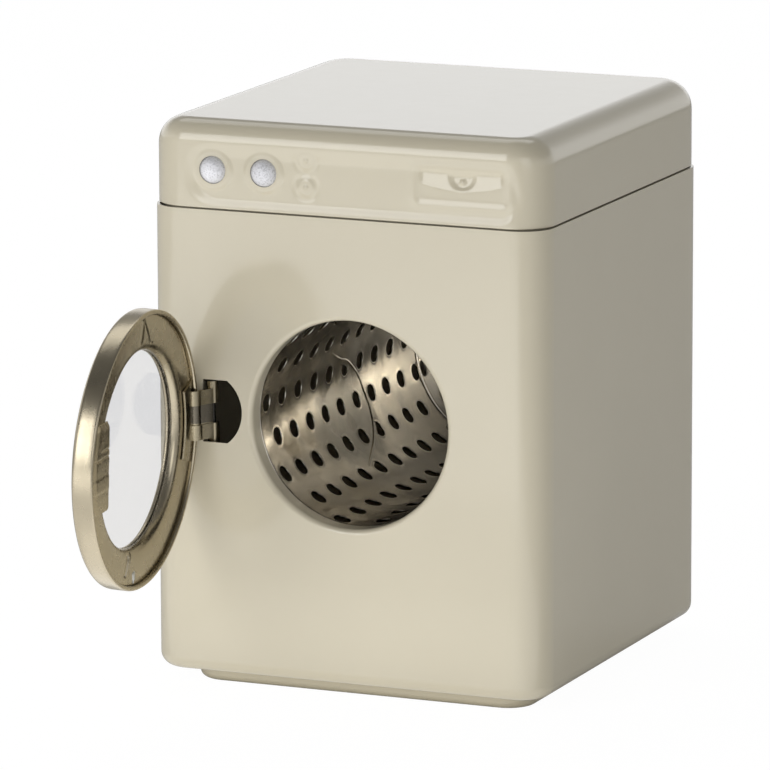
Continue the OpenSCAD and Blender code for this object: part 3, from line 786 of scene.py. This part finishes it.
def plated(name, colour):
    return metal(name, colour, 0.27, spread=0.03, patch=0.93)


def painted_deep_shade(mat):
    """Painted shade: darkens a metal toward the drum's bottom and its closed end, the deep parts of the drum."""
    tree, bsdf = nodes_of(mat)
    axes = axes_of(tree, "Object")
    shade = bsdf.inputs["Base Color"].links[0].from_socket
    # painted shade: along an axis, from start to end in metres, the brightness goes through the stops
    for axis, start, end, stops in (
            ("Z", drum_at.z - 0.024, drum_at.z + 0.004, [(0.1, 0.28), (0.74, 1.0)]),
            ("Y", -0.045, 0.045, [(0.3, 1.0), (0.95, 0.94)])):
        tint = grey_ramp(tree, span_of(tree, axes[axis], start, end), *stops)
        shade = mix_colour(tree, "MULTIPLY", shade, tint)
    tree.links.new(shade, bsdf.inputs["Base Color"])
    return mat


def clear():
    """The window's thin plastic, which lets light through onto the sheet behind it."""
    mat, tree, bsdf = new_material("clear")
    bsdf.inputs["Base Color"].default_value = (0.84, 0.84, 0.85, 1)
    bsdf.inputs["Transmission Weight"].default_value = 1.0
    bsdf.inputs["IOR"].default_value = 1.22
    rough = grey_ramp(tree, noise_of(tree, 120, 3), (0.4, 0.0), (0.7, 0.03))
    tree.links.new(rough, bsdf.inputs["Roughness"])
    bump(tree, bsdf, noise_of(tree, 45, 2), 0.00003, 0.3)
    through = tree.nodes.new("ShaderNodeBsdfTransparent")
    through.inputs["Color"].default_value = grey(0.85)
    rays = any_of(tree, "Is Shadow Ray", "Is Diffuse Ray")
    mix_surface(tree, rays, bsdf.outputs["BSDF"], through.outputs["BSDF"])
    return mat


PLATE_HALF = 0.0021        # half height of the strap's plate between its lugs, metres
PLATE_REACH = 0.0062       # from the hinge out to where the strap meets the door's rim


def shaded_strap():
    """The strap's nickel, with the sunk plate between its lugs darkened as painted shade."""
    mat = plated("strap_nickel", srgb(168, 158, 134))
    tree, bsdf = nodes_of(mat)
    axes = axes_of(tree, "Object")
    over = math_node(tree, "GREATER_THAN", axes["Z"], hinge.z - PLATE_HALF)
    under = math_node(tree, "LESS_THAN", axes["Z"], hinge.z + PLATE_HALF)
    near = math_node(tree, "GREATER_THAN", axes["Y"], hinge.y - PLATE_REACH)
    plate = math_node(tree, "MULTIPLY", math_node(tree, "MULTIPLY", over, under), near)
    base = bsdf.inputs["Base Color"].links[0].from_socket
    # painted shade: the plate between the lugs takes a dark colour
    shade = mix_colour(tree, "MIX", base, srgb(116, 110, 98), plate)
    tree.links.new(shade, bsdf.inputs["Base Color"])
    return mat


def cast_knob():
    """Bright grainy casting, darkened toward the dome's outline as painted shade."""
    mat = metal("knob_metal", srgb(240, 240, 244), 0.5, grain=2200, depth=0.00016)
    tree, bsdf = nodes_of(mat)
    bsdf.inputs["Metallic"].default_value = 0.35
    grains = grey_ramp(tree, noise_of(tree, 2600, 2), (0.34, 0.76), (0.5, 1.0))
    # painted shade: the dome darkens where its surface turns away from view
    facing = tree.nodes.new("ShaderNodeLayerWeight").outputs["Facing"]
    rim = grey_ramp(tree, facing, (0.45, 1.0), (0.74, 0.14))
    base = bsdf.inputs["Base Color"].links[0].from_socket
    base = mix_colour(tree, "MULTIPLY", mix_colour(tree, "MULTIPLY", base, grains), rim)
    tree.links.new(base, bsdf.inputs["Base Color"])
    return mat


MATERIALS = {
    "enamel": enamel(),
    "nickel": plated("nickel", srgb(182, 172, 150)),
    # the drum's sheet carries painted shade, darker toward its bottom and its closed end
    "drum_sheet": painted_deep_shade(metal("drum_sheet", srgb(242, 236, 224), 0.16, grain=400, patch=0.92)),
    "steel": metal("steel", srgb(172, 170, 164), 0.3),
    "brass": metal("brass", srgb(196, 164, 98), 0.3),
    "clear": clear(),
    # dark steel as painted shade, for the hinge pieces seen in the dark hole
    "shade_dark_steel": metal("shade_dark_steel", srgb(60, 58, 54), 0.4),
    "strap_nickel": shaded_strap(),
    "knob_metal": cast_knob(),
    "solder": metal("solder", srgb(196, 198, 198), 0.34, grain=1500, depth=0.00004),
}


# ---------------------------------------------------------------- camera, stage and light
AZIMUTH = 23.16            # degrees to the machine's right
ELEVATION = 11.42          # degrees above its middle
ROLL = -0.184              # degrees
DISTANCE = 1.63704         # metres from the target
LENS_PX = 7160.3           # focal length in pixels of the photograph's frame
PICTURE_PX = 770
SENSOR = 36.0              # millimetres
TARGET_RIGHT = -0.01016
TARGET_UP = 0.06329
NEAREST, FARTHEST = 0.05, 20
FLOOR_HALF = 4
FLOOR_GLOW = 1.045         # brightness of the floor that the camera sees
GLOW_SHARE = 0.93          # the rest of it shows the machine's shadow


def set_camera():
    """The photograph's camera."""
    az, el = math.radians(AZIMUTH), math.radians(ELEVATION)
    back = Vector((math.sin(az) * math.cos(el), -math.cos(az) * math.cos(el), math.sin(el)))
    right = Vector((math.cos(az), math.sin(az), 0))
    target = right * TARGET_RIGHT + Vector((0, 0, TARGET_UP))
    data = bpy.data.cameras.new("camera")
    data.sensor_width = SENSOR
    data.lens = LENS_PX / PICTURE_PX * SENSOR
    data.clip_start = NEAREST
    data.clip_end = FARTHEST
    cam = linked("camera", data)
    turn = Matrix((right, back.cross(right), back)).transposed()
    cam.matrix_world = (Matrix.Translation(target + back * DISTANCE) @ turn.to_4x4()
                        @ Matrix.Rotation(math.radians(ROLL), 4, "Z"))
    bpy.context.scene.camera = cam


def soft_box(name, place_at, aim, width, height, level):
    """A rectangle of light whose face looks level times as bright as white."""
    data = bpy.data.lights.new(name, "AREA")
    data.energy = level * math.pi * width * height
    data.shape = "RECTANGLE"
    data.size = width
    data.size_y = height
    light = linked(name, data)
    light.location = place_at
    light.rotation_euler = (Vector(aim) - Vector(place_at)).to_track_quat("-Z", "Y").to_euler()
    light.visible_camera = False
    light.visible_transmission = False


def table_box(name, x, y, z, width, height, level):
    """A soft box that lies on the table, facing up, for the shine of the pale table."""
    soft_box(name, (x, y, z), (x, y, 1), width, height, level)


def set_world():
    """White to the camera; to all else a pale horizon under a dim ceiling, dimmer to the right."""
    world = bpy.data.worlds.new("studio")
    bpy.context.scene.world = world
    world.use_nodes = True
    tree = world.node_tree
    axes = axes_of(tree, "Generated")

    def along(axis, *stops):
        return grey_ramp(tree, span_of(tree, axes[axis], -1, 1), *stops)

    rise = along("Z", (0.0, 0.8), (0.48, 0.9), (0.52, 1.1), (0.615, 1.1), (0.70, 0.3), (0.8, 0.22),
                 (1.0, 0.2))
    aside = along("X", (0.0, 1.0), (0.66, 1.0), (0.9, 0.75))
    depth = along("Y", (0.3, 0.65), (0.6, 1.06))
    both = mix_colour(tree, "MULTIPLY", mix_colour(tree, "MULTIPLY", rise, aside), depth)
    seen = any_of(tree, "Is Camera Ray", "Is Transmission Ray")
    shown = mix_colour(tree, "MIX", both, grey(1), seen)
    tree.links.new(shown, tree.nodes["Background"].inputs["Color"])


def set_floor():
    """White to the camera but for the machine's soft shadow, and a pale table to all else."""
    bm = bmesh.new()
    bmesh.ops.create_grid(bm, x_segments=1, y_segments=1, size=FLOOR_HALF)
    mesh = bpy.data.meshes.new("floor")
    bm.to_mesh(mesh)
    bm.free()
    floor = linked("floor", mesh)
    mat, tree, bsdf = new_material("pale_floor")
    bsdf.inputs["Base Color"].default_value = grey(0.9)
    bsdf.inputs["Roughness"].default_value = 0.9
    bsdf.inputs["Specular IOR Level"].default_value = 0.1
    glow = tree.nodes.new("ShaderNodeEmission")
    glow.inputs["Strength"].default_value = FLOOR_GLOW
    seen = any_of(tree, "Is Camera Ray", "Is Transmission Ray")
    share = math_node(tree, "MULTIPLY", seen, GLOW_SHARE)
    mix_surface(tree, share, bsdf.outputs["BSDF"], glow.outputs["Emission"])
    floor.data.materials.append(mat)


def set_lights():
    """Place and aim, then width, height and level; all in metres but the level."""
    soft_box("front", (-0.53, -1.2, 0.46), (0, -0.05, 0.3), 0.4, 0.78, 3.8)
    soft_box("right", (0.9, -0.9, 0.35), (0, 0, 0.05), 0.6, 0.7, 1.3)
    table_box("table_near", -0.14, -0.36, 0.0002, 0.6, 0.6, 0.68)
    table_box("table_far", -0.16, -0.46, 0.0003, 0.5, 0.4, 0.9)
    table_box("table_edge", 0, -0.0943, 0.0004, 0.12, 0.1015, 0.35)
    soft_box("back_top", (-0.35, 0.7, 1.4), (0, 0, 0.1), 1.35, 0.7, 1.35)
    bpy.context.scene.view_settings.view_transform = "Standard"


# ---------------------------------------------------------------- the machine
set_camera()
set_world()
set_floor()
set_lights()
for name, obj in frame["nodes"].items():
    obj.data.materials.clear()
    obj.data.materials.append(MATERIALS[slot_of[name]])
top_cap()
door_rings()
catch_plate()
solder()
softened("hinge_strap", "door_hinge_strap", "door", "strap_nickel", STRAP_BEVEL, slot="nickel")
# painted shade: the hinge's bracket and pin are made dark, as the hole they sit in lies in shade
for name in ("hinge_bracket", "hinge_pin"):
    frame["nodes"][name].data.materials[0] = MATERIALS["shade_dark_steel"]
drum_shell()
drum_hoops()
drum_fold()
knob("knob_left")
knob("knob_right")
